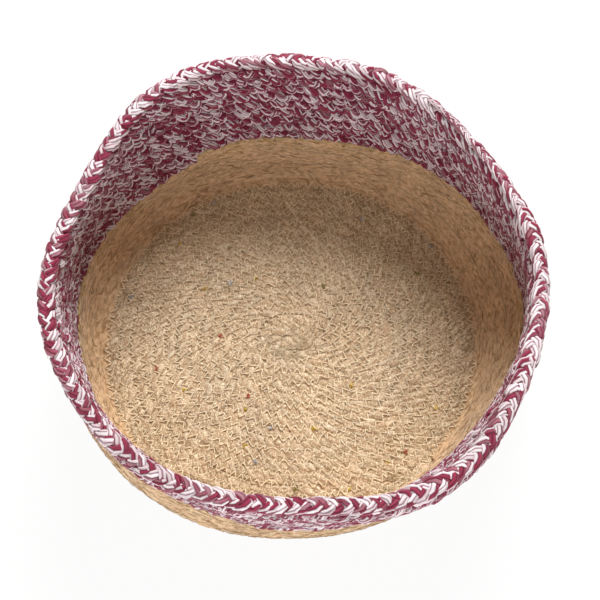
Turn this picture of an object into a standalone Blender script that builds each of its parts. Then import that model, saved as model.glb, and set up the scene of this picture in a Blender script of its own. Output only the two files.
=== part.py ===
"""A round open basket, coiled and sewn from two braided cords.

One path runs from the middle of the floor to the rim: a flat spiral, a rounded corner, then a
helix up the wall. A jute cord follows it over the floor and the lower wall, and a coloured cord
takes over from there to the rim. Every row lies beside the last at one pitch, measured along the
wall's own curve, so the gap between rows is the same on the floor, round the corner and up the wall.
The wall is soft and stands a little out of round, by a few long waves.
Lengths are in metres, +Z is up, and the origin lies under the straight start of the coil.
"""
import math

import bpy
from mathutils import Vector
from mathutils.kdtree import KDTree

# The braided cord: its width is the thickness of the basket's wall, its thickness is a row's height
CORD_WIDTH = 0.0104
CORD_THICKNESS = 0.00745
ROW_GAP = 0.0005
JOINT_GAP = 0.0003
FACE_SHARE = 0.5

# Turns of the cord, counted from where it first comes round the straight start
FLOOR_TURNS = 14.6
JUTE_WALL_TURNS = 6.45
BAND_TURNS = 9.7
RIM_TURNS = 1.125
LOOP_POINTS = 22

# The wall's profile: a rounded corner, a flare that grows steeper, then upright to the rim
CORNER_INSIDE = 0.0073
CORNER_TURN = math.radians(60)
FLARE_LENGTH = 0.045
STEPS_PER_ROW = 16

# The cord's last stretch thins down onto the row below
TAPER_POINTS = 3
TAPER_END_SHARE = 0.3

# How far the soft basket leaves a true circle: waves round it, and their cosine and sine parts
# as shares of the radius, for the line where the floor bends up, the colour change and the rim
FOLD_WAVE_SHARES = ((1, -0.038, 0.012), (2, 0.019, 0.0))
BELLY_WAVE_SHARES = (
    (0, -0.019, 0.0), (1, 0.020, 0.031), (2, 0.038, -0.001), (3, 0.003, 0.015), (4, 0.007, 0.006),
    (5, 0.002, 0.0), (6, 0.002, -0.006), (7, 0.005, 0.002),
)
RIM_WAVE_SHARES = (
    (0, -0.003, 0.0), (1, 0.003, -0.007), (2, -0.026, -0.019), (3, 0.0, -0.016), (4, 0.0, 0.015),
    (6, 0.014, 0.002),
)

JUTE_COLOUR = (0.56, 0.40, 0.23, 1.0)
BAND_COLOUR = (0.42, 0.13, 0.18, 1.0)
CORD_ROUGHNESS = 0.85
MILLIMETRES = 1000

PITCH = CORD_THICKNESS + ROW_GAP
HALF_POINTS = LOOP_POINTS // 2
STRAIGHT_HALF = CORD_THICKNESS / 2
SPIRAL_CENTRE_Y = PITCH / 4
FACE_HALF = CORD_THICKNESS * FACE_SHARE / 2
CORNER_RADIUS = CORNER_INSIDE + CORD_WIDTH / 2
FLOOR_RADIUS = PITCH * (1 + FLOOR_TURNS)
CORNER_LENGTH = CORNER_RADIUS * CORNER_TURN
BELLY_LENGTH = PITCH * JUTE_WALL_TURNS
WALL_LENGTH = PITCH * (JUTE_WALL_TURNS + BAND_TURNS + RIM_TURNS)


def clear_scene():
    for item in list(bpy.data.objects):
        bpy.data.objects.remove(item, do_unlink=True)


def new_collection(name):
    group = bpy.data.collections.new(name)
    bpy.context.scene.collection.children.link(group)
    return group


def cord_material(name, colour):
    material = bpy.data.materials.new(name)
    material.use_nodes = True
    shader = material.node_tree.nodes["Principled BSDF"]
    shader.inputs["Base Color"].default_value = colour
    shader.inputs["Roughness"].default_value = CORD_ROUGHNESS
    shader.inputs["Metallic"].default_value = 0.0
    return material


def ease(along, start, end):
    """Rises smoothly from 0 at start to 1 at end."""
    share = min(1.0, max(0.0, (along - start) / (end - start)))
    return (1 - math.cos(math.pi * share)) / 2


def waves(shares, direction):
    return sum(c * math.cos(n * direction) + s * math.sin(n * direction) for n, c, s in shares)


def mean_slope(length):
    """The angle of the round basket's wall above level, at a length past the floor's edge."""
    if length <= CORNER_LENGTH:
        return max(0.0, length) / CORNER_RADIUS
    share = min(1.0, (length - CORNER_LENGTH) / FLARE_LENGTH)
    return CORNER_TURN + (math.pi / 2 - CORNER_TURN) * share


def profile(direction):
    """The wall's profile in one direction: rows of length along it, radius, height and slope."""
    step = PITCH / STEPS_PER_ROW
    fold = waves(FOLD_WAVE_SHARES, direction) * FLOOR_RADIUS
    belly = waves(BELLY_WAVE_SHARES, direction)
    rim = waves(RIM_WAVE_SHARES, direction)
    round_radius = FLOOR_RADIUS
    rows = [(FLOOR_RADIUS + fold, FLOOR_RADIUS + fold, CORD_WIDTH / 2, 0.0)]
    for index in range(1, math.ceil((WALL_LENGTH + abs(fold)) / step) + 1):
        length = index * step
        round_radius += step * math.cos(mean_slope(length - step / 2))
        low = ease(length, CORNER_LENGTH, BELLY_LENGTH)
        high = ease(length, BELLY_LENGTH, WALL_LENGTH)
        radius = round_radius * (1 + belly * (low - high) + rim * high) + fold * (1 - low)
        outward = max(-step, min(step, radius - rows[-1][1]))
        upward = math.sqrt(step * step - outward * outward)
        slope = math.atan2(upward, outward)
        lowest = CORD_WIDTH / 2 * math.cos(slope) + FACE_HALF * math.sin(slope)
        rows.append((rows[-1][0] + step, radius, max(lowest, rows[-1][2] + upward), slope))
    return rows


def profile_place(rows, along):
    """Radius, height and slope at a length along the profile."""
    if along <= rows[0][0]:
        return along, CORD_WIDTH / 2, 0.0
    step = rows[1][0] - rows[0][0]
    index = min(len(rows) - 2, int((along - rows[0][0]) / step))
    share = (along - rows[index][0]) / step
    low, high = rows[index], rows[index + 1]
    return tuple(low[k] + (high[k] - low[k]) * share for k in (1, 2, 3))


def spiral_place(index, profiles):
    """Place and slope of one point of the path, counted from the end of the first half turn."""
    half, place = divmod(index, HALF_POINTS)
    side = 1 if half % 2 else -1
    angle = math.pi * place / (HALF_POINTS - 1) - side * math.pi / 2
    if (side, place) not in profiles:
        profiles[side, place] = profile(angle)
    along = PITCH * (1 + index / LOOP_POINTS) + SPIRAL_CENTRE_Y * min(0, index) / HALF_POINTS
    radius, height, slope = profile_place(profiles[side, place], along)
    across = side * STRAIGHT_HALF + radius * math.cos(angle)
    return Vector((across, SPIRAL_CENTRE_Y + radius * math.sin(angle), height)), slope


def path_points(turns):
    """The whole path: the straight start, its first half turn, and then LOOP_POINTS to a turn."""
    profiles = {}
    start = (Vector((-STRAIGHT_HALF, 0, CORD_WIDTH / 2)), 0.0)
    indices = range(-HALF_POINTS, round(turns * LOOP_POINTS) + 1)
    return [start] + [spiral_place(index, profiles) for index in indices]


def stretch(points, first, last, start_cut, end_cut):
    """The points from first to last; a cut end stops halfway to the next point, less half a gap."""
    part = list(points[first:last + 1])
    if start_cut:
        before, here = points[first - 1], points[first]
        middle = (before[0] + here[0]) / 2
        onward = (here[0] - before[0]).normalized()
        part.insert(0, (middle + onward * JOINT_GAP / 2, (before[1] + here[1]) / 2))
    if end_cut:
        here, after = points[last], points[last + 1]
        middle = (here[0] + after[0]) / 2
        onward = (after[0] - here[0]).normalized()
        part.append((middle - onward * JOINT_GAP / 2, (here[1] + after[1]) / 2))
    return part


def section_curve(group):
    """The cord's section: six sides, flat on its two faces and pointed towards the next rows."""
    curve = bpy.data.curves.new("cord_section", "CURVE")
    curve.dimensions = "2D"
    spline = curve.splines.new("POLY")
    corners = (
        (CORD_THICKNESS / 2, 0), (FACE_HALF, -CORD_WIDTH / 2), (-FACE_HALF, -CORD_WIDTH / 2),
        (-CORD_THICKNESS / 2, 0), (-FACE_HALF, CORD_WIDTH / 2), (FACE_HALF, CORD_WIDTH / 2),
    )
    spline.points.add(len(corners) - 1)
    for point, corner in zip(spline.points, corners):
        point.co = (*corner, 0, 1)
    spline.use_cyclic_u = True
    section = bpy.data.objects.new("cord_section", curve)
    section.hide_render = True
    section.display_type = "WIRE"
    group.objects.link(section)
    return section


def coil(name, part, sizes, section, material, group):
    """One unbroken length of cord along the given points, its faces square to the wall."""
    curve = bpy.data.curves.new(name, "CURVE")
    curve.dimensions = "3D"
    curve.twist_mode = "Z_UP"
    curve.bevel_mode = "OBJECT"
    curve.bevel_object = section
    curve.use_fill_caps = True
    spline = curve.splines.new("POLY")
    spline.points.add(len(part) - 1)
    for point, (place, slope), size in zip(spline.points, part, sizes):
        point.co = (*place, 1)
        point.tilt = -slope
        point.radius = size
    spline.use_smooth = True
    curve.materials.append(material)
    cord = bpy.data.objects.new(name, curve)
    group.objects.link(cord)
    return cord


def taper(part):
    """Thins the last points of the rim and lowers them, so that they stay on the row below."""
    sizes = [1.0] * len(part)
    for back in range(TAPER_POINTS):
        share = (TAPER_POINTS - back) / TAPER_POINTS
        size = 1 - (1 - TAPER_END_SHARE) * share
        index = len(part) - 1 - back
        place, slope = part[index]
        drop = Vector((0, 0, (1 - size) * CORD_THICKNESS / 2))
        part[index] = (place - drop, slope)
        sizes[index] = size
    return sizes


def least_gap(cord, part):
    """The least distance between the surface points of loops that lie beside each other."""
    depsgraph = bpy.context.evaluated_depsgraph_get()
    mesh = cord.evaluated_get(depsgraph).to_mesh()
    path = KDTree(len(part))
    for index, (place, _) in enumerate(part):
        path.insert(place, index)
    path.balance()
    spots = []
    for edge in mesh.edges:
        ends = [mesh.vertices[k].co for k in edge.vertices]
        spots.extend((*ends, (ends[0] + ends[1]) / 2))
    turns = [path.find(spot)[1] for spot in spots]
    tree = KDTree(len(spots))
    for index, spot in enumerate(spots):
        tree.insert(spot, index)
    tree.balance()
    least = math.inf
    reach = 2 * CORD_WIDTH
    for index, spot in enumerate(spots):
        for _, other, distance in tree.find_range(spot, min(least, reach)):
            if abs(turns[other] - turns[index]) >= HALF_POINTS:
                least = min(least, distance)
    return least


def main():
    clear_scene()
    basket = new_collection("braided_basket")
    guides = new_collection("guides")
    jute = cord_material("jute", JUTE_COLOUR)
    coloured = cord_material("coloured_yarn", BAND_COLOUR)
    section = section_curve(guides)

    points = path_points(FLOOR_TURNS + JUTE_WALL_TURNS + BAND_TURNS + RIM_TURNS)
    first = 1 + HALF_POINTS
    floor_end = first + round(FLOOR_TURNS * LOOP_POINTS)
    jute_end = floor_end + round(JUTE_WALL_TURNS * LOOP_POINTS)
    band_end = jute_end + round(BAND_TURNS * LOOP_POINTS)
    rim_end = len(points) - 1
    stretches = (
        ("jute_floor_coil", 0, floor_end, jute),
        ("jute_wall_coil", floor_end + 1, jute_end, jute),
        ("coloured_wall_coil", jute_end + 1, band_end, coloured),
        ("coloured_rim_coil", band_end + 1, rim_end, coloured),
    )
    for name, low, high, material in stretches:
        part = stretch(points, low, high, low > 0, high < rim_end)
        sizes = taper(part) if high == rim_end else [1.0] * len(part)
        cord = coil(name, part, sizes, section, material, basket)
        bpy.context.view_layer.update()
        gap = least_gap(cord, part) * MILLIMETRES
        print(f"{name}: {len(part)} points, least gap to itself {gap:.2f} mm")


main()
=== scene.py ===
"""Looks for the round braided basket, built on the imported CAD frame.

The cords follow the same path as the solids. Each is a plait of three strands laid on edge round a
filling, and each strand is a bundle of twisted yarns. Lengths are in metres, +Z is up.
"""
import math

import bpy
import numpy as np
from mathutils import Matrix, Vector


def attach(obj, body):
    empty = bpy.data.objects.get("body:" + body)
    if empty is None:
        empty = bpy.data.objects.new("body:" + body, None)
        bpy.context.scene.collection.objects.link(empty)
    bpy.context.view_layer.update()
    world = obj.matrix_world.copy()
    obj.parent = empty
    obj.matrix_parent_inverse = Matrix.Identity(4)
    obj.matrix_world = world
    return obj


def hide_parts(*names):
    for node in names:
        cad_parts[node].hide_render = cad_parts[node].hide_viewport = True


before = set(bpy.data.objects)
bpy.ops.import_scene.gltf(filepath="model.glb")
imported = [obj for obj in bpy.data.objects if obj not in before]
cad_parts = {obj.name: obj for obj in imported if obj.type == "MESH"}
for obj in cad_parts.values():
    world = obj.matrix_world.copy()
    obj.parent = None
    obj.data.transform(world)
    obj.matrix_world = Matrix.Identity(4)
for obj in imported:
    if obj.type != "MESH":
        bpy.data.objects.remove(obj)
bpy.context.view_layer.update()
rng = np.random.default_rng(7)

# The cord and its spiral, with the sizes of the CAD model
CORD_WIDTH = 0.0104
CORD_THICKNESS = 0.00745
ROW_GAP = 0.0005
PITCH = CORD_THICKNESS + ROW_GAP
FLOOR_TURNS = 14.6
JUTE_WALL_TURNS = 6.45
BAND_TURNS = 9.7
RIM_TURNS = 1.125
ALL_TURNS = FLOOR_TURNS + JUTE_WALL_TURNS + BAND_TURNS + RIM_TURNS
LOOP_POINTS = 22
HALF_POINTS = LOOP_POINTS // 2
CORNER_INSIDE = 0.0073
CORNER_RADIUS = CORNER_INSIDE + CORD_WIDTH / 2
CORNER_TURN = math.radians(60)
FLARE_LENGTH = 0.045
TAPER_END_SHARE = 0.3
TAPER_LENGTH = 0.11
FACE_HALF = CORD_THICKNESS / 4
FLOOR_RADIUS = PITCH * (1 + FLOOR_TURNS)
CORNER_LENGTH = CORNER_RADIUS * CORNER_TURN
BELLY_LENGTH = PITCH * JUTE_WALL_TURNS
WALL_LENGTH = PITCH * (JUTE_WALL_TURNS + BAND_TURNS + RIM_TURNS)

# Waves round the basket: how many, and their cosine and sine as shares of the radius
FOLD_WAVES = ((1, -0.038, 0.012), (2, 0.019, 0.0))
BELLY_WAVES = ((0, -0.019, 0.0), (1, 0.020, 0.031), (2, 0.038, -0.001), (3, 0.003, 0.015),
               (4, 0.007, 0.006), (5, 0.002, 0.0), (6, 0.002, -0.006), (7, 0.005, 0.002))
RIM_WAVES = ((0, -0.003, 0.0), (1, 0.003, -0.007), (2, -0.026, -0.019), (3, 0.0, -0.016),
             (4, 0.0, 0.015), (6, 0.014, 0.002))

# How finely the path is worked out
DIRECTIONS = 361
PROFILE_STEP = PITCH / 16
PROFILE_SPARE = 0.01
PLACES_A_POINT = 8
CENTRE_TUCK = 0.0055

# The plait: three strands that go from side to side and over each other
STRANDS = 3
PERIOD = 0.0180
STEP = PERIOD / 14
WIDTH_HALF = CORD_WIDTH / 2
PITCH_HALF = PITCH / 2
ACROSS_THIRD = 0.10
BITE_THIRD = 0.4
COURSE_SAMPLES = 181
YARN_SIDES = 3
STRAND_POWER = 0.75
STRAND_UV_SHIFT = 10
QUADS_A_PIECE = 90000

# The filling between the strands, a little larger in the middle of the floor
FILLING_SIDES = 12
FILLING_YARN_SIDES = 2.5
FILLING_UV_START = 40
FILLING_OWN = 0.6
START_SWELL = 0.14
START_REACH = 0.07

# Sewing thread and loose fibres
STITCH = 0.0028
STITCH_POINTS = 4
STITCH_JITTER = 0.0009
STITCH_WIDE = 0.0022
STITCH_WIDE_SPREAD = 0.2
STITCH_CLIP = 0.85
STITCH_SAG = 0.00045
JITTER_PLACES = 1600
WIDE_PLACES = 1800
SINK_REACH = 0.009
THREAD_SIDES = 5
FIBRE_POINTS = 4
FIBRE_SIDES = 3
FIBRE_BEND = 0.25
FIBRE_LIFT = 0.00022
FIBRE_DIP = 0.0006
FIBRE_TILT = 0.0002
LINE_ENDS = 0.3
LINE_OWN = (0.3, 1)
LINE_UV_LENGTH = 0.01
LINE_UV_SHIFT = 30
TUFT_FIBRES = 14
TUFT_ALONG = 0.0007
TUFT_ACROSS = 0.0006
KNOT_FROM_END = 0.53

# How the cord, its strands and its yarns wander: each a reach along the path and a size
MIDDLE_INWARD = (0.03, 0.00022)
MIDDLE_UP = (0.04, 0.00016)
JITTER_LONG = (0.16, 0.9)
JITTER_SHORT = (0.018, 0.30)
JITTER_OWN_SHARE = 0.35
SWELL = (0.010, 0.10)
ROLL = (0.03, 1.6)
YARN_VALUE = (0.008, 0.25)
JUTE_KIND = (0.02, 0.6)

# The cord's size at its start in the middle of the floor
START_PLACES = (0, 0.004, 0.05, 0.10)
START_SIZES = (0.85, 1.10, 1.07, 1.0)

# Coloured yarn: reach and share of the stretches where dark and pale change places, and of those
# where pale yarn shows, and how far each kind is tinted by the other
FINE_SWAPS = (0.004, 0.36)
FINE_PALE = (0.010, 0.80)
BOLD_SWAPS = (0.009, 0.38)
# FINE_WHITE is below BOLD_WHITE so the band's pale yarn takes more of the red than the rim's:
# painted pink reflected light from the red yarn round it.
FINE_WHITE = 0.90
BOLD_WHITE = 0.93
TINT_REACH = 0.012
PALE_TINT = 0.30
RED_TINT = 0.22


def ease(length, start, end):
    """A smooth rise from 0 at start to 1 at end."""
    share = min(1.0, max(0.0, (length - start) / (end - start)))
    return (1 - math.cos(math.pi * share)) / 2


def waves(shares, direction):
    return sum(c * np.cos(n * direction) + s * np.sin(n * direction) for n, c, s in shares)


def mean_slope(length):
    """Slope of the mean wall, from 0 on the floor through the corner to upright."""
    if length <= CORNER_LENGTH:
        return max(0.0, length) / CORNER_RADIUS
    share = min(1.0, (length - CORNER_LENGTH) / FLARE_LENGTH)
    return CORNER_TURN + (math.pi / 2 - CORNER_TURN) * share


def wall_profiles():
    """Radius, height and slope up the wall for each whole degree round the basket."""
    directions = np.radians(np.arange(DIRECTIONS))
    fold = waves(FOLD_WAVES, directions) * FLOOR_RADIUS
    belly = waves(BELLY_WAVES, directions)
    rim = waves(RIM_WAVES, directions)
    round_radius = FLOOR_RADIUS
    radius = [FLOOR_RADIUS + fold]
    height = [np.full(DIRECTIONS, CORD_WIDTH / 2)]
    slope = [np.zeros(DIRECTIONS)]
    for index in range(1, math.ceil((WALL_LENGTH + PROFILE_SPARE) / PROFILE_STEP) + 1):
        length = index * PROFILE_STEP
        round_radius += PROFILE_STEP * math.cos(mean_slope(length - PROFILE_STEP / 2))
        low = ease(length, CORNER_LENGTH, BELLY_LENGTH)
        high = ease(length, BELLY_LENGTH, WALL_LENGTH)
        here = round_radius * (1 + belly * (low - high) + rim * high) + fold * (1 - low)
        outward = np.clip(here - radius[-1], -PROFILE_STEP, PROFILE_STEP)
        upward = np.sqrt(PROFILE_STEP ** 2 - outward ** 2)
        turn = np.arctan2(upward, outward)
        lowest = CORD_WIDTH / 2 * np.cos(turn) + FACE_HALF * np.sin(turn)
        radius.append(here)
        height.append(np.maximum(lowest, height[-1] + upward))
        slope.append(turn)
    return np.array(radius), np.array(height), np.array(slope)


def surface(angle, along, tables):
    """Radius, height and slope at directions and lengths from the middle of the floor."""
    degrees = np.degrees(angle) % 360
    column = np.floor(degrees).astype(int)
    side = degrees - column
    past = (along - FLOOR_RADIUS * (1 + waves(FOLD_WAVES, angle))) / PROFILE_STEP
    row = np.clip(np.floor(past).astype(int), 0, len(tables[0]) - 2)
    up = np.clip(past - row, 0, 1)
    flat = past <= 0
    found = []
    for table, on_floor in zip(tables, (along, CORD_WIDTH / 2, 0)):
        low = table[row, column] * (1 - side) + table[row, column + 1] * side
        high = table[row + 1, column] * (1 - side) + table[row + 1, column + 1] * side
        found.append(np.where(flat, on_floor, low * (1 - up) + high * up))
    return found


def cord_path():
    """The whole path at even steps.

    It holds the length s, the places p, the axes u up the wall and n into the basket, and the
    index, which counts the points of the CAD model's path.
    """
    total = round(ALL_TURNS * LOOP_POINTS)
    index = np.arange(-HALF_POINTS * PLACES_A_POINT, total * PLACES_A_POINT + 1) / PLACES_A_POINT
    half = np.floor(index / HALF_POINTS)
    place = index - half * HALF_POINTS
    index, half, place = (a[place <= HALF_POINTS - 1 + 1e-6] for a in (index, half, place))
    side = np.where(half % 2 == 1, 1.0, -1.0)
    angle = math.pi * place / (HALF_POINTS - 1) - side * math.pi / 2
    along = PITCH * (1 + index / LOOP_POINTS) + PITCH / 4 * np.minimum(0, index) / HALF_POINTS
    radius, height, slope = surface(angle, along, wall_profiles())
    points = np.stack([side * CORD_THICKNESS / 2 + radius * np.cos(angle),
                       PITCH / 4 + radius * np.sin(angle), height], 1)
    start = [-CORD_THICKNESS / 2, 0, CORD_WIDTH / 2]
    points = np.vstack([[start[0] - CENTRE_TUCK, *start[1:]], start, points])
    angle = np.unwrap(np.concatenate([angle[:1], angle[:1], angle]))
    slope = np.concatenate([slope[:1], slope[:1], slope])
    index = np.concatenate([index[:1] - 2, index[:1] - 1, index])
    legs = np.linalg.norm(np.diff(points, axis=0), axis=1)
    length = np.concatenate([[0], np.cumsum(legs)])
    even = np.arange(0, length[-1], STEP)
    place = np.stack([np.interp(even, length, points[:, k]) for k in range(3)], 1)
    angle, slope = np.interp(even, length, angle), np.interp(even, length, slope)
    outward = np.stack([np.cos(angle) * np.cos(slope), np.sin(angle) * np.cos(slope),
                        np.sin(slope)], 1)
    forward = unit(np.gradient(place, axis=0))
    outward = unit(outward - forward * np.sum(outward * forward, 1, keepdims=True))
    return {"s": even, "p": place, "u": outward, "n": np.cross(outward, forward),
            "index": np.interp(even, length, index)}


def unit(vectors):
    return vectors / np.maximum(np.linalg.norm(vectors, axis=-1, keepdims=True), 1e-12)


def drift(count, reach, size):
    """Smooth random values along the path, correlated over a reach in metres."""
    knots = rng.normal(0, size, int(count * STEP / reach) + 4)
    fine = np.interp(np.arange(count) * STEP / reach, np.arange(len(knots)), knots)
    width = max(1, int(reach / STEP))
    window = np.hanning(width + 2)[1:-1]
    padded = np.pad(fine, width, mode="edge")
    return np.convolve(padded, window / window.sum(), "same")[width:-width]


def patches(count, reach, share):
    """Ones and zeros along the path in stretches of about the reach, ones for the share."""
    value = drift(count, reach, 1.0)
    return (value > np.quantile(value, 1 - share)).astype(float)


def tinted(kinds):
    """Some of the pale yarn has taken a little of the red, and the other way round."""
    pale = 1 - PALE_TINT * drift(len(kinds), TINT_REACH, 1.0).clip(0, 1)
    red = RED_TINT * drift(len(kinds), TINT_REACH, 1.0).clip(0, 1)
    return np.where(kinds > 0.5, pale, red)


def add_object(name, data):
    made = bpy.data.objects.new(name, data)
    bpy.context.scene.collection.objects.link(made)
    return made


def mesh_piece(name, material, rings, colours, coordinates):
    """One mesh of tubes: rings has the shape tubes, rings, sides, 3.

    Colours and fibre coordinates have one row of four corners for each side quad.
    """
    tubes, count, sides, _ = rings.shape
    vertices = rings.reshape(-1, 3).copy()
    vertices[:, 2] = np.maximum(vertices[:, 2], 0.0)
    tube, ring, side = np.meshgrid(np.arange(tubes), np.arange(count - 1), np.arange(sides),
                                   indexing="ij")
    after = (side + 1) % sides
    base = (tube * count + ring) * sides
    quads = np.stack([base + side, base + after, base + sides + after, base + sides + side], -1)
    quads = quads.reshape(-1, 4)
    caps = np.arange(tubes)[:, None] * count * sides
    first = caps + np.arange(sides)[::-1]
    last = caps + (count - 1) * sides + np.arange(sides)
    loops = np.concatenate([quads.ravel(), first.ravel(), last.ravel()])
    starts = np.concatenate([np.arange(len(quads)) * 4,
                             len(quads) * 4 + np.arange(2 * tubes) * sides])
    mesh = bpy.data.meshes.new(name)
    mesh.vertices.add(len(vertices))
    mesh.vertices.foreach_set("co", vertices.ravel())
    mesh.loops.add(len(loops))
    mesh.loops.foreach_set("vertex_index", loops.astype(np.int32))
    mesh.polygons.add(len(starts))
    mesh.polygons.foreach_set("loop_start", starts.astype(np.int32))
    mesh.polygons.foreach_set("use_smooth", np.ones(len(starts), bool))
    paint = np.zeros((len(loops), 4), np.float32)
    paint[:, 3] = 1
    paint[: len(quads) * 4] = colours.reshape(-1, 4)
    mesh.attributes.new("Yarn", "BYTE_COLOR", "CORNER").data.foreach_set("color", paint.ravel())
    flat = np.zeros((len(loops), 2), np.float32)
    flat[: len(quads) * 4] = coordinates.reshape(-1, 2)
    mesh.uv_layers.new(name="Fibre").data.foreach_set("uv", flat.ravel())
    mesh.update(calc_edges=True)
    mesh.materials.append(material)
    piece = add_object(name, mesh)
    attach(piece, "root")
    return piece


def quad_uv(s, sides, per_yarn, start):
    """Fibre coordinates of each side quad: metres along, yarns across."""
    u0, u1 = s[:-1, None] * np.ones(sides), s[1:, None] * np.ones(sides)
    v0 = np.arange(sides)[None] / per_yarn * np.ones((len(s) - 1, 1)) + start
    v1 = v0 + 1 / per_yarn
    return np.stack([np.stack(pair, -1) for pair in ((u0, v0), (u0, v1), (u1, v1), (u1, v0))], 2)


def course(turn, bite, late):
    """Where a strand lies across the plait and over it.

    From each edge it runs on top to the middle, and then under the next strand to the other edge.
    Both changes come late by an angle. A larger bite makes the one in the middle steeper and the
    one at the edge gentler.
    """
    def over(angle):
        return np.sin(2 * angle) + bite * np.sin(4 * angle) + BITE_THIRD * bite * np.sin(6 * angle)

    top = np.max(over(np.linspace(0, math.pi / 2, COURSE_SAMPLES)))
    across = (np.sin(turn) + ACROSS_THIRD * np.sin(3 * turn)) / (1 - ACROSS_THIRD)
    return across, -over(turn - late) / top


def rounded(value, power):
    return np.sign(value) * np.abs(value) ** power


def plait(path, low, high, look):
    """The three strands of one stretch of cord: rings, colours and fibre coordinates.

    A colour holds the yarn's kind, how far the corner stands out of the strand, which the
    material turns into painted shade in the grooves, and a value of the yarn's own.
    """
    part = slice(low, high)
    s, size = path["s"][part], path["size"][part][:, None]
    up, inward = path["u"][part], path["n"][part]
    wide, thick = look["wide"], look["thick"]
    spread = WIDTH_HALF + look["rise"] - thick
    depth = PITCH_HALF + look["press"] - thick
    sides = YARN_SIDES * look["yarns"]
    step = np.arange(sides)
    yarn = step // YARN_SIDES
    corner = np.stack([step, (step + 1) % sides, (step + 1) % sides, step], -1)
    rings, paints, places = [], [], []
    for strand in range(STRANDS):
        turn = 2 * math.pi * (s / PERIOD + strand / STRANDS) + path["jitter"][strand][part]
        swell = 1 + look["loose"] * path["swell"][strand][part]
        across, over = course(turn, look["bite"], look["late"])
        centre = path["p"][part] + size * (inward * (spread * across * swell)[:, None]
                                           + up * (depth * over)[:, None])
        run = unit(np.gradient(centre, axis=0))
        lean = (1 - np.sin(turn) ** 2)[:, None]
        first = unit(np.cross(run, up * lean + inward * np.sin(turn)[:, None] * (1 - lean)))
        second = np.cross(run, first)
        roll = 2 * math.pi * s / look["twist"] + look["roam"] * path["roll"][strand][part]
        roll = roll + look["ease"] * np.arctan2(np.sin(turn) ** 3, np.cos(turn) ** 2)
        round_ = 2 * math.pi * step[None] / sides + roll[:, None]
        stand = np.where(step % YARN_SIDES == 0, look["valley"], 1.0)[None]
        a = (wide * swell)[:, None] * stand * rounded(np.cos(round_), STRAND_POWER)
        b = (thick * swell)[:, None] * stand * rounded(np.sin(round_), STRAND_POWER)
        section = a[..., None] * first[:, None] + b[..., None] * second[:, None]
        rings.append(centre[:, None] + size[:, None] * section)
        paint = np.ones((len(s) - 1, sides, 4, 4), np.float32)
        paint[..., 0] = path[look["kinds"]][strand][part][:-1][:, yarn][..., None]
        # Painted shade: corners in the grooves get 0 here, which the material darkens to its groove
        # shade colour.
        paint[..., 1] = np.where(corner % YARN_SIDES == 0, 0.0, 1.0)[None]
        paint[..., 2] = path["own"][strand][part][:-1][:, yarn][..., None]
        paints.append(paint)
        places.append(quad_uv(s, sides, YARN_SIDES, STRAND_UV_SHIFT * strand))
    return np.stack(rings), np.stack(paints), np.stack(places)


def filling(path, low, high, look):
    """The inner yarns that close the cord between its strands: a tube of a rounded box section."""
    part = slice(low, high)
    s, size = path["s"][part], path["size"][part][:, None, None]
    round_ = 2 * math.pi * (np.arange(FILLING_SIDES) + 0.5) / FILLING_SIDES
    a = look["fill"][0] * rounded(np.cos(round_), look["fill_round"])
    b = look["fill"][1] * rounded(np.sin(round_), look["fill_round"])
    swell = 1 + START_SWELL * np.exp(-(s / START_REACH) ** 4)[:, None, None]
    section = (swell * a[None, :, None] * path["u"][part][:, None]
               + b[None, :, None] * path["n"][part][:, None])
    rings = path["p"][part][:, None] + size * section
    paint = np.ones((1, len(s) - 1, FILLING_SIDES, 4, 4), np.float32)
    paint[..., 0] = look["fill_kind"]
    # Painted shade between the strands: this share darkens the filling toward the groove shade
    # colour.
    paint[..., 1] = look["fill_painted_shade"]
    paint[..., 2] = FILLING_OWN
    return rings[None], paint, quad_uv(s, FILLING_SIDES, FILLING_YARN_SIDES, FILLING_UV_START)[None]


def lines(places, radius, sides, ends=LINE_ENDS):
    """Rings for thin round lines: places has the shape lines, points, 3, radius a value a line."""
    run = unit(np.gradient(places, axis=1))
    helper = np.where(np.abs(run[..., 2:]) > 0.9, np.array([1.0, 0, 0]), np.array([0, 0, 1.0]))
    first = unit(np.cross(run, helper))
    second = np.cross(run, first)
    round_ = 2 * math.pi * np.arange(sides) / sides
    taper = np.ones(places.shape[1])
    taper[0] = taper[-1] = ends
    r = np.asarray(radius).reshape(-1, 1, 1, 1) * taper[None, :, None, None]
    c, d = np.cos(round_)[None, None, :, None], np.sin(round_)[None, None, :, None]
    return places[:, :, None] + r * (c * first[:, :, None] + d * second[:, :, None])


def line_paint(rings, kinds, own):
    """Colours and fibre coordinates of thin lines, from one kind and one value a line."""
    tubes, count, sides, _ = rings.shape
    paint = np.ones((tubes, count - 1, sides, 4, 4), np.float32)
    paint[..., 0] = np.asarray(kinds).reshape(-1, 1, 1, 1)
    paint[..., 2] = np.asarray(own).reshape(-1, 1, 1, 1)
    u = np.linspace(0, LINE_UV_LENGTH, count)
    uv = np.stack([quad_uv(u, sides, YARN_SIDES, 0)] * tubes)
    return paint, uv + rng.uniform(0, LINE_UV_SHIFT, (tubes, 1, 1, 1, 2))


def on_cord(path, s, across, out):
    """Places beside the cord's middle line: across to the next row, out into the basket."""
    place, up, inward = (np.stack([np.interp(s, path["s"], path[key][:, k]) for k in range(3)], -1)
                         for key in "pun")
    return place + up * across[..., None] + inward * out[..., None]


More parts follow.
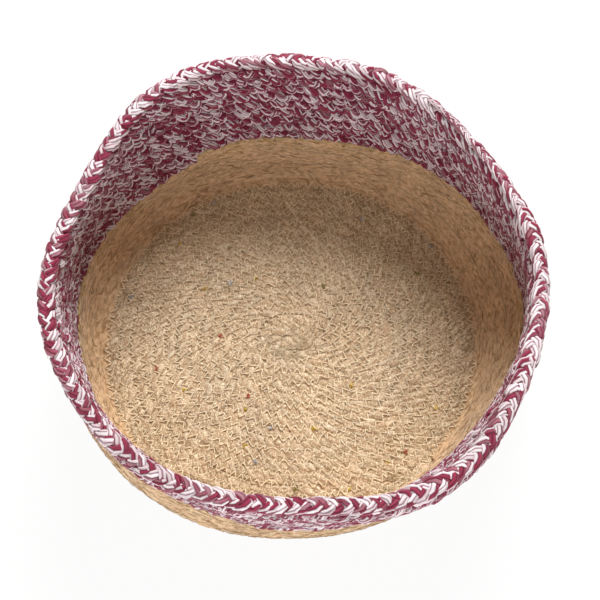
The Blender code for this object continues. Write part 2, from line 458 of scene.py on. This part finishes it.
def stitches(path, low, high, side, height, sink):
    """The sewing thread: a zigzag over the seam between rows, from low to high metres along."""
    count = int((high - low) / STITCH) * STITCH_POINTS
    s = low + np.arange(count) * STITCH / STITCH_POINTS
    s = s + np.interp(s, np.linspace(low, high, JITTER_PLACES),
                      rng.normal(0, STITCH_JITTER, JITTER_PLACES))
    phase = np.arange(count) / STITCH_POINTS % 2
    zigzag = np.where(phase < 1, phase, 2 - phase) * 2 - 1
    zigzag = np.clip(zigzag, -STITCH_CLIP, STITCH_CLIP) / STITCH_CLIP
    wide = STITCH_WIDE * (1 + np.interp(s, np.linspace(low, high, WIDE_PLACES),
                                        rng.normal(0, STITCH_WIDE_SPREAD, WIDE_PLACES)))
    sinks = int((high - low) / SINK_REACH)
    deep = sink * np.interp(s, np.linspace(low, high, sinks), rng.normal(0, 1, sinks))
    out = side * (height - STITCH_SAG * zigzag ** 2 + deep)
    return on_cord(path, s, PITCH_HALF + wide * zigzag, out)


def hairs(path, s, across, side, height, length, spread, radius):
    """Loose fibres: short bent lines at places along the cord and across it."""
    count = len(s)
    s, across = s[:, None], across[:, None]
    turn = rng.normal(0, spread, count)[:, None]
    long = rng.uniform(*length, count)[:, None]
    step = np.linspace(-0.5, 0.5, FIBRE_POINTS)[None]
    bend = rng.normal(0, FIBRE_BEND, count)[:, None] * (1 - 4 * step ** 2) * long
    along = long * step * np.cos(turn) - bend * np.sin(turn)
    up = long * step * np.sin(turn) + bend * np.cos(turn)
    lift = rng.normal(0, FIBRE_LIFT, count)[:, None]
    tilt = rng.uniform(-1, 1, count)[:, None] * FIBRE_TILT * step
    out = side * (height + lift - FIBRE_DIP * np.abs(2 * step) ** 2 + tilt)
    places = on_cord(path, s + along, across + up, out)
    return lines(places, rng.uniform(*radius, count), FIBRE_SIDES)


def node(tree, kind, **values):
    made = tree.nodes.new(kind)
    for name, value in values.items():
        setattr(made, name, value)
    return made


def ramp(tree, source, stops):
    """Colours at places from 0 to 1 of a source value."""
    made = tree.nodes.new("ShaderNodeValToRGB")
    while len(made.color_ramp.elements) < len(stops):
        made.color_ramp.elements.new(0.5)
    for element, (place, colour) in zip(made.color_ramp.elements, stops):
        element.position = place
        element.color = (*colour, 1)
    tree.links.new(source, made.inputs[0])
    return made.outputs[0]


def grey(value):
    return value, value, value


def mix(tree, share, first, second, how="MIX"):
    """A mix of two colours: each of the three inputs is a socket or a fixed value."""
    made = node(tree, "ShaderNodeMix", data_type="RGBA", blend_type=how)
    for number, value in ((0, share), (6, first), (7, second)):
        socket = made.inputs[number]
        if isinstance(value, bpy.types.NodeSocket):
            tree.links.new(value, socket)
        elif isinstance(value, tuple):
            socket.default_value = (*value, 1)
        else:
            socket.default_value = value
    return made.outputs[2]


def noise_on(tree, source, scale, detail):
    noise = node(tree, "ShaderNodeTexNoise")
    noise.inputs["Scale"].default_value = scale
    noise.inputs["Detail"].default_value = detail
    tree.links.new(source, noise.inputs[0])
    return noise.outputs[0]


def fibre_noise(tree, along, across, detail):
    """Noise drawn out along the yarn, on the fibre coordinates."""
    uv = node(tree, "ShaderNodeUVMap", uv_map="Fibre")
    mapping = node(tree, "ShaderNodeMapping")
    mapping.inputs["Scale"].default_value = (along, across, 1)
    tree.links.new(uv.outputs[0], mapping.inputs[0])
    return noise_on(tree, mapping.outputs[0], 1.0, detail)


def streaks(tree, turn, low, high):
    """Thin streaks in one direction of the object's space, as a share from 0 to 1."""
    place = node(tree, "ShaderNodeTexCoord")
    mapping = node(tree, "ShaderNodeMapping", vector_type="TEXTURE")
    mapping.inputs["Rotation"].default_value = (0.25 * turn, 0.3, turn)
    mapping.inputs["Scale"].default_value = (STREAK_LONG, STREAK_THIN, STREAK_THIN)
    tree.links.new(place.outputs["Object"], mapping.inputs[0])
    noise = noise_on(tree, mapping.outputs[0], 1.0, 1.0)
    return ramp(tree, noise, [(low, grey(0)), (high, grey(1))])


# Streaks of loose fibre: direction, which of two tints, and where in the noise they start and end
STREAK_LONG = 0.0032
STREAK_THIN = 0.00062
FUZZ = ((0.3, 0, 0.60, 0.70), (1.4, 0, 0.60, 0.70), (2.4, 0, 0.61, 0.71),
        (0.9, 1, 0.62, 0.72), (1.9, 1, 0.62, 0.72), (2.9, 1, 0.62, 0.72))

# Noise on the yarns: scales along and across them, or in the object's space, and the detail
FIBRES = (260, 9, 3.0)
BUMPS = (900, 30, 2.0)
BLOTCHES = (55, 2.0)
DARK_STOPS = (0.30, 0.52, 0.74)
PALE_STOPS = (0.28, 0.50, 0.72)


def yarn_material(name, dark, pale, painted_shade, sheen, fuzz=None, rough=True):
    """Yarn coloured by its kind, 0 dark and 1 pale, with drawn-out fibres and painted shade in the
    grooves.
    """
    material = bpy.data.materials.new(name)
    material.use_nodes = True
    tree = material.node_tree
    shader = tree.nodes["Principled BSDF"]
    yarn = node(tree, "ShaderNodeAttribute", attribute_name="Yarn")
    split = node(tree, "ShaderNodeSeparateColor")
    tree.links.new(yarn.outputs["Color"], split.inputs[0])
    kind, crest, own = split.outputs
    fibres = fibre_noise(tree, *FIBRES)
    blotches = noise_on(tree, node(tree, "ShaderNodeTexCoord").outputs["Object"], *BLOTCHES)
    colour = mix(tree, kind, ramp(tree, fibres, list(zip(DARK_STOPS, dark))),
                 ramp(tree, fibres, list(zip(PALE_STOPS, pale))))
    # Painted shade in the grooves: a low second value darkens the colour to the groove shade
    # colour.
    for source, low, high in ((own, (0.0, grey(0.80)), (1.0, grey(1.0))),
                              (blotches, (0.35, grey(0.86)), (0.65, grey(1.0))),
                              (crest, (0.0, painted_shade), (0.8, grey(1.0)))):
        colour = mix(tree, 1.0, colour, ramp(tree, source, [low, high]), "MULTIPLY")
    if fuzz:
        for turn, tint, low, high in FUZZ:
            colour = mix(tree, streaks(tree, turn, low, high), colour, fuzz[tint])
    tree.links.new(colour, shader.inputs["Base Color"])
    shader.inputs["Roughness"].default_value = 0.85
    shader.inputs["Specular IOR Level"].default_value = 0.25
    shader.inputs["Sheen Weight"].default_value = sheen
    shader.inputs["Sheen Roughness"].default_value = 0.5
    if rough:
        bump = node(tree, "ShaderNodeBump")
        bump.inputs["Strength"].default_value = 0.6
        bump.inputs["Distance"].default_value = 0.0004
        tree.links.new(fibre_noise(tree, *BUMPS), bump.inputs["Height"])
        tree.links.new(bump.outputs[0], shader.inputs["Normal"])
    return material


def dress_cord(path, name, node_name, low, high, material, look):
    """A stretch of cord as plaited pieces, each within the limit of faces, and its filling."""
    quads = (high - low) * STRANDS * YARN_SIDES * look["yarns"]
    cuts = np.linspace(low, high, max(1, math.ceil(quads / QUADS_A_PIECE)) + 1).astype(int)
    made = [(f"{name}_{number}", plait(path, start, min(end + 1, high), look))
            for number, (start, end) in enumerate(zip(cuts[:-1], cuts[1:]), 1)]
    for piece_name, shape in (*made, (f"{name}_filling", filling(path, low, high, look))):
        piece = mesh_piece(piece_name, material, *shape)
        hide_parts(node_name)


def line_piece(name, rings, material, kinds):
    """Thin lines as one piece: each has a kind of its own."""
    piece = mesh_piece(name, material, rings,
                       *line_paint(rings, kinds, rng.uniform(*LINE_OWN, len(rings))))


# The path, and how it wanders: the cord's middle line, its size at both ends, and for each strand
# its place in the plait (jitter), its size (swell), its roll, and the values of its yarns
path = cord_path()
count = len(path["s"])
end = path["s"][-1]
path["p"] = (path["p"] + path["n"] * drift(count, *MIDDLE_INWARD)[:, None]
             + path["u"] * drift(count, *MIDDLE_UP)[:, None])
path["size"] = np.interp(end - path["s"], [0, TAPER_LENGTH], [TAPER_END_SHARE, 1.0])
path["p"] = path["p"] - path["u"] * ((1 - path["size"]) * CORD_THICKNESS / 2)[:, None]
path["size"] = path["size"] * np.interp(path["s"], START_PLACES, START_SIZES)
path["jitter"] = [drift(count, *JITTER_LONG) + drift(count, *JITTER_SHORT)
                  for _ in range(STRANDS)]
path["jitter"] = [path["jitter"][0] + JITTER_OWN_SHARE * more for more in path["jitter"]]
path["swell"] = [drift(count, *SWELL) for _ in range(STRANDS)]
path["roll"] = [drift(count, *ROLL) for _ in range(STRANDS)]


def yarn_table(yarns, value):
    """For each strand, a column of values along the path for each of its yarns."""
    return [np.stack([value(yarn) for yarn in range(yarns)], 1) for _ in range(STRANDS)]


# Kinds of yarn: jute without an order, fine strokes on the band, and bold pairs on the rim
path["own"] = [table.clip(0, 1) for table in
               yarn_table(12, lambda yarn: rng.uniform(0.1, 0.9) + drift(count, *YARN_VALUE))]
path["jute"] = yarn_table(5, lambda yarn: (0.5 + drift(count, *JUTE_KIND)).clip(0, 1))
path["fine"] = yarn_table(12, lambda yarn: FINE_WHITE * tinted(
    np.abs(yarn % 2 - patches(count, *FINE_SWAPS)) * patches(count, *FINE_PALE)))
path["bold"] = yarn_table(8, lambda yarn: BOLD_WHITE * tinted(
    np.abs((yarn + 1) // 2 % 2 - patches(count, *BOLD_SWAPS))))

# The yarns' materials: dark and pale colours, the painted shade of the grooves, and the sheen
JUTE_PAINTED_SHADE = (0.70, 0.58, 0.46)
floor_jute = yarn_material(
    "floor_jute", ((0.48, 0.29, 0.145), (0.68, 0.475, 0.295), (0.81, 0.625, 0.42)),
    ((0.66, 0.46, 0.275), (0.80, 0.62, 0.425), (0.91, 0.76, 0.565)), JUTE_PAINTED_SHADE, 0.15,
    fuzz=((0.97, 0.84, 0.60), (0.30, 0.17, 0.075)))
# The wall's jute is a deeper orange than the floor's: partly the cord's own tone, partly painted
# warm shade of light bounced inside the basket.
wall_jute = yarn_material(
    "wall_jute", ((0.40, 0.215, 0.09), (0.74, 0.465, 0.255), (0.90, 0.635, 0.38)),
    ((0.58, 0.355, 0.175), (0.84, 0.585, 0.345), (0.95, 0.745, 0.50)), JUTE_PAINTED_SHADE, 0.4)
thread = yarn_material(
    "thread", ((0.26, 0.14, 0.055), (0.40, 0.24, 0.11), (0.55, 0.36, 0.18)),
    ((0.93, 0.71, 0.45), (0.98, 0.82, 0.57), (0.99, 0.90, 0.70)), grey(0.9), 0.0, rough=False)
golden = yarn_material(
    "golden_thread", ((0.50, 0.28, 0.06), (0.66, 0.42, 0.12), (0.78, 0.54, 0.20)),
    ((0.72, 0.50, 0.17), (0.85, 0.64, 0.28), (0.92, 0.76, 0.42)), grey(0.9), 0.1, rough=False)
coloured = yarn_material(
    "coloured_yarn", ((0.14, 0.006, 0.020), (0.31, 0.024, 0.068), (0.48, 0.07, 0.15)),
    ((0.84, 0.67, 0.71), (0.98, 0.90, 0.925), (0.985, 0.95, 0.96)), (0.30, 0.14, 0.20), 0.15)

# A cord's look. wide and thick are a strand's half sizes. rise and press are how far the strands
# stand past the cord's width and thickness. bite and late give a strand's course. The yarns roll
# once in the length twist, back against the turning of the strand's axes by the share ease, and at
# random by roam. The grooves between them lie at the share valley. loose is the strands' random
# swelling, and kinds names the table of the yarns' colours. The filling has two half sizes, a power
# that squares its section, the kind of its colour, and the share of painted shade that darkens it
# between the strands, lower for darker.
floor_look = {
    "yarns": 4, "wide": 0.0029, "thick": 0.0021, "rise": 0.0001, "press": 0.0007, "bite": 0.2,
    "late": 0.20, "twist": -0.05, "ease": 0.7, "roam": 1.0, "valley": 0.93, "loose": 0.7,
    "kinds": "jute", "fill": (0.0041, 0.0047), "fill_round": 0.14, "fill_kind": 0.3,
    "fill_painted_shade": 0.6}
wall_look = dict(floor_look, rise=-0.0002, fill=(0.0044, 0.0051), fill_round=0.10, fill_kind=0.4,
                 fill_painted_shade=0.9)
band_look = {
    "yarns": 12, "wide": 0.0028, "thick": 0.0026, "rise": 0.0005, "press": 0.0002, "bite": 0.0,
    "late": 0.45, "twist": -0.045, "ease": 0.5, "roam": 2.0, "valley": 0.82, "loose": 1.0,
    "kinds": "fine", "fill": (0.0038, 0.0040), "fill_round": 0.5, "fill_kind": 0.0,
    "fill_painted_shade": 0.3}
rim_look = dict(
    band_look, yarns=7, wide=0.0027, thick=0.0024, rise=0.0, press=0.0004, bite=0.40, late=0.20,
    twist=0.15, ease=1.0, roam=1.0, kinds="bold", fill=(0.0026, 0.0034), fill_round=0.7)

# Where the cords change, as steps of the path and in metres along it
floor_cut = round(FLOOR_TURNS * LOOP_POINTS) + 0.5
jute_cut = floor_cut + round(JUTE_WALL_TURNS * LOOP_POINTS)
band_cut = jute_cut + round(BAND_TURNS * LOOP_POINTS)
floor_step, jute_step, band_step = (int(np.searchsorted(path["index"], cut))
                                    for cut in (floor_cut, jute_cut, band_cut))
floor_end, jute_end = path["s"][floor_step], path["s"][jute_step]

dress_cord(path, "floor_braid", "jute_floor_coil", 0, floor_step, floor_jute, floor_look)
dress_cord(path, "lower_wall_braid", "jute_wall_coil", floor_step, jute_step, wall_jute,
           wall_look)
dress_cord(path, "upper_wall_braid", "coloured_wall_coil", jute_step, band_step,
           coloured, band_look)
dress_cord(path, "rim_braid", "coloured_rim_coil", band_step, count, coloured,
           rim_look)


def sew():
    """Light thread over the floor's seams, jute-coloured on the wall, golden at the colour change.

    Each row of the table has the name, the stretch of cord, the side (1 inside, -1 outside), the
    height over the middle line, the random depth, the thread's radius, its material and its kind.
    """
    for name, low, high, side, height, sink, thick, material, kind in (
            ("floor_thread_inside", 0.03, floor_end, 1, 0.0056, 0.00030, 0.00034, thread, 1.0),
            ("floor_thread_under", 0.03, floor_end - 1.1, -1, 0.0050, 0.0001, 0.00025, thread, 1.0),
            ("wall_thread_inside", floor_end, jute_end - 0.9, 1, 0.0050, 0.00022, 0.00025, thread,
             0.5),
            ("wall_thread_outside", floor_end + 0.8, jute_end - 0.9, -1, 0.0050, 0.00022, 0.00025,
             thread, 0.5),
            ("line_thread_inside", jute_end - 0.9, jute_end, 1, 0.0055, 0.00045, 0.00032, golden,
             1.0),
            ("line_thread_outside", jute_end - 0.9, jute_end, -1, 0.0052, 0.00045, 0.00028, golden,
             0.5)):
        places = stitches(path, low, high, side, height, sink)[None]
        line_piece(name, lines(places, [thick], THREAD_SIDES, 1.0), material, [kind])


def loosen():
    """Loose fibres on every face: crossed on the floor, along the rows on the wall.

    Each row of the table has the name, the number, the stretch of cord, the side, the height over
    the middle line, the lengths, the spread of directions, the radii, the material, and the shares
    of dark, middle and pale fibres.
    """
    for name, amount, low, high, side, height, length, spread, radius, material, shares in (
            # Dark floor fibres: partly the jute's own dark flecks, partly painted shadow of the
            # grooves between the lumps.
            ("floor_fibres_inside", 6500, 0.0, floor_end, 1, 0.0054, (0.002, 0.006), 1.2,
             (0.0001, 0.0002), thread, (0.3, 0.1, 0.6)),
            ("centre_fibres_inside", 450, 0.0, 0.09, 1, 0.0055, (0.003, 0.008), 1.2,
             (0.0001, 0.0002), thread, (0.0, 0.45, 0.55)),
            ("line_fibres_inside", 170, jute_end - 0.95, jute_end, 1, 0.0060, (0.003, 0.012), 0.8,
             (0.00012, 0.00022), golden, (0.2, 0.3, 0.5)),
            ("floor_fibres_under", 2500, 0.0, floor_end - 1.2, -1, 0.0050, (0.002, 0.006), 1.2,
             (0.0001, 0.00018), thread, (0.3, 0.3, 0.4)),
            ("wall_fibres_inside", 6000, floor_end - 1.0, jute_end, 1, 0.0054, (0.003, 0.012), 0.3,
             (0.00008, 0.00018), thread, (0.45, 0.25, 0.3)),
            # Mostly dark fibres outside the wall: partly the jute's own flecks, partly painted
            # shade that darkens that side.
            ("wall_fibres_outside", 7000, floor_end + 0.8, jute_end, -1, 0.0053, (0.003, 0.009),
             0.2, (0.00008, 0.00018), thread, (0.70, 0.3, 0.0)),
            ("band_fibres_inside", 2500, jute_end, end - 0.9, 1, 0.0056, (0.003, 0.008), 0.5,
             (0.00008, 0.00016), coloured, (0.5, 0.0, 0.5)),
            ("band_fibres_outside", 6000, jute_end, end - 1.1, -1, 0.0054, (0.003, 0.007), 0.2,
             (0.00008, 0.00016), coloured, (0.22, 0.53, 0.25))):
        s = rng.uniform(low, high, amount)
        across = rng.uniform(-PITCH_HALF, PITCH_HALF, amount)
        rings = hairs(path, s, across, side, height, length, spread, radius)
        kinds = rng.choice([0.0, 0.5, 1.0], amount, p=shares)
        line_piece(name, rings, material, kinds)


def speckle():
    """A few tufts of other yarn caught in the floor, and a dark red knot under the rim."""
    knot = end - KNOT_FROM_END
    for name, dark, pale, low, high, tufts in (
            ("yellow_specks", (0.72, 0.42, 0.02), (0.86, 0.66, 0.08), 0.4, floor_end, 11),
            ("red_specks", (0.50, 0.07, 0.03), (0.62, 0.16, 0.06), 0.6, floor_end, 4),
            ("grey_specks", (0.58, 0.58, 0.62), (0.78, 0.78, 0.82), 0.3, floor_end, 7),
            ("olive_specks", (0.25, 0.20, 0.03), (0.40, 0.32, 0.06), 0.3, floor_end, 4),
            ("red_knot", (0.22, 0.01, 0.02), (0.36, 0.03, 0.04), knot, knot + 0.001, 1)):
        material = yarn_material(name, (dark, dark, pale), (dark, pale, pale), grey(0.9), 0.1,
                                 rough=False)
        amount = tufts * TUFT_FIBRES
        s = np.repeat(rng.uniform(low, high, tufts), TUFT_FIBRES)
        s = s + rng.normal(0, TUFT_ALONG, amount)
        across = np.repeat(rng.uniform(-PITCH_HALF, PITCH_HALF, tufts), TUFT_FIBRES)
        across = across + rng.normal(0, TUFT_ACROSS, amount)
        rings = hairs(path, s, across, 1, 0.0056, (0.0010, 0.0030), 1.5, (0.00016, 0.00030))
        line_piece(name, rings, material, rng.choice([0.0, 1.0], amount))


sew()
loosen()
speckle()

# The studio: floor, lamps and the camera, which stands as the photograph's did
FLOOR_REACH = 6.0
FLOOR_HEIGHT = -0.0002
FLOOR_GLOW = 0.93
AIM = Vector((0, 0, 0.05))
LAMPS = (("key", 0.9, 39, (0.96, 0.985, 1.0), (0.20, 1.05, 1.20)),
         ("fill", 1.2, 22, (0.92, 0.96, 1.0), (-0.25, -1.5, 0.50)))
RIM_MIDDLE = Vector((0.0, 0.0022, 0.1273))
CAMERA_DISTANCE = 4.53 * 0.152
CAMERA_LEAN = math.radians(64.7)
CAMERA_DOWN = CAMERA_LEAN + math.radians(1.62)
CAMERA_RIGHT = math.radians(0.34)


def studio_floor():
    """A pale floor, near white to the camera, that keeps the shadow."""
    mesh = bpy.data.meshes.new("studio_floor")
    corners = [(x * FLOOR_REACH, y * FLOOR_REACH, FLOOR_HEIGHT)
               for x, y in ((-1, -1), (1, -1), (1, 1), (-1, 1))]
    mesh.from_pydata(corners, [], [(0, 1, 2, 3)])
    floor = add_object("studio_floor", mesh)
    material = bpy.data.materials.new("studio_floor")
    material.use_nodes = True
    tree = material.node_tree
    shader = tree.nodes["Principled BSDF"]
    shader.inputs["Base Color"].default_value = (0.92, 0.92, 0.92, 1)
    shader.inputs["Roughness"].default_value = 0.9
    shader.inputs["Specular IOR Level"].default_value = 0.0
    glow = node(tree, "ShaderNodeEmission")
    glow.inputs["Color"].default_value = (1, 1, 1, 1)
    glow.inputs["Strength"].default_value = 1.0
    rays = node(tree, "ShaderNodeLightPath")
    seen = node(tree, "ShaderNodeMath", operation="MULTIPLY")
    seen.inputs[1].default_value = FLOOR_GLOW
    blend = node(tree, "ShaderNodeMixShader")
    tree.links.new(rays.outputs["Is Camera Ray"], seen.inputs[0])
    tree.links.new(seen.outputs[0], blend.inputs[0])
    tree.links.new(shader.outputs[0], blend.inputs[1])
    tree.links.new(glow.outputs[0], blend.inputs[2])
    tree.links.new(blend.outputs[0], tree.nodes["Material Output"].inputs["Surface"])
    mesh.materials.append(material)


def studio_world():
    """Warm light from all round, and white where the camera sees past the floor."""
    world = bpy.data.worlds.new("studio")
    bpy.context.scene.world = world
    world.use_nodes = True
    tree = world.node_tree
    tree.nodes.clear()
    output = node(tree, "ShaderNodeOutputWorld")
    rays = node(tree, "ShaderNodeLightPath")
    blend = node(tree, "ShaderNodeMixShader")
    tree.links.new(rays.outputs["Is Camera Ray"], blend.inputs[0])
    for socket, colour, strength in ((1, (1.0, 0.89, 0.77, 1), 0.42), (2, (1, 1, 1, 1), 1.0)):
        light = node(tree, "ShaderNodeBackground")
        light.inputs["Color"].default_value = colour
        light.inputs["Strength"].default_value = strength
        tree.links.new(light.outputs[0], blend.inputs[socket])
    tree.links.new(blend.outputs[0], output.inputs[0])


def lamps():
    """A soft key from behind and above, and a weaker fill from the front."""
    for name, size, energy, colour, place in LAMPS:
        light = bpy.data.lights.new(name, "AREA")
        light.shape = "DISK"
        light.size = size
        light.energy = energy
        light.color = colour
        lamp = add_object(name, light)
        lamp.location = place
        lamp.rotation_euler = (AIM - lamp.location).to_track_quat("-Z", "Y").to_euler()


def photo_camera():
    lens = bpy.data.cameras.new("camera")
    lens.sensor_width = 36
    lens.lens = 68.76
    lens.clip_start = 0.01
    camera = add_object("camera", lens)
    camera.location = RIM_MIDDLE + Vector((0, -CAMERA_DISTANCE * math.cos(CAMERA_LEAN),
                                           CAMERA_DISTANCE * math.sin(CAMERA_LEAN)))
    gaze = Vector((math.sin(CAMERA_RIGHT), math.cos(CAMERA_DOWN), -math.sin(CAMERA_DOWN)))
    camera.rotation_euler = gaze.to_track_quat("-Z", "Y").to_euler()
    bpy.context.scene.camera = camera


studio_floor()
studio_world()
lamps()
photo_camera()
bpy.context.scene.view_settings.view_transform = "Standard"
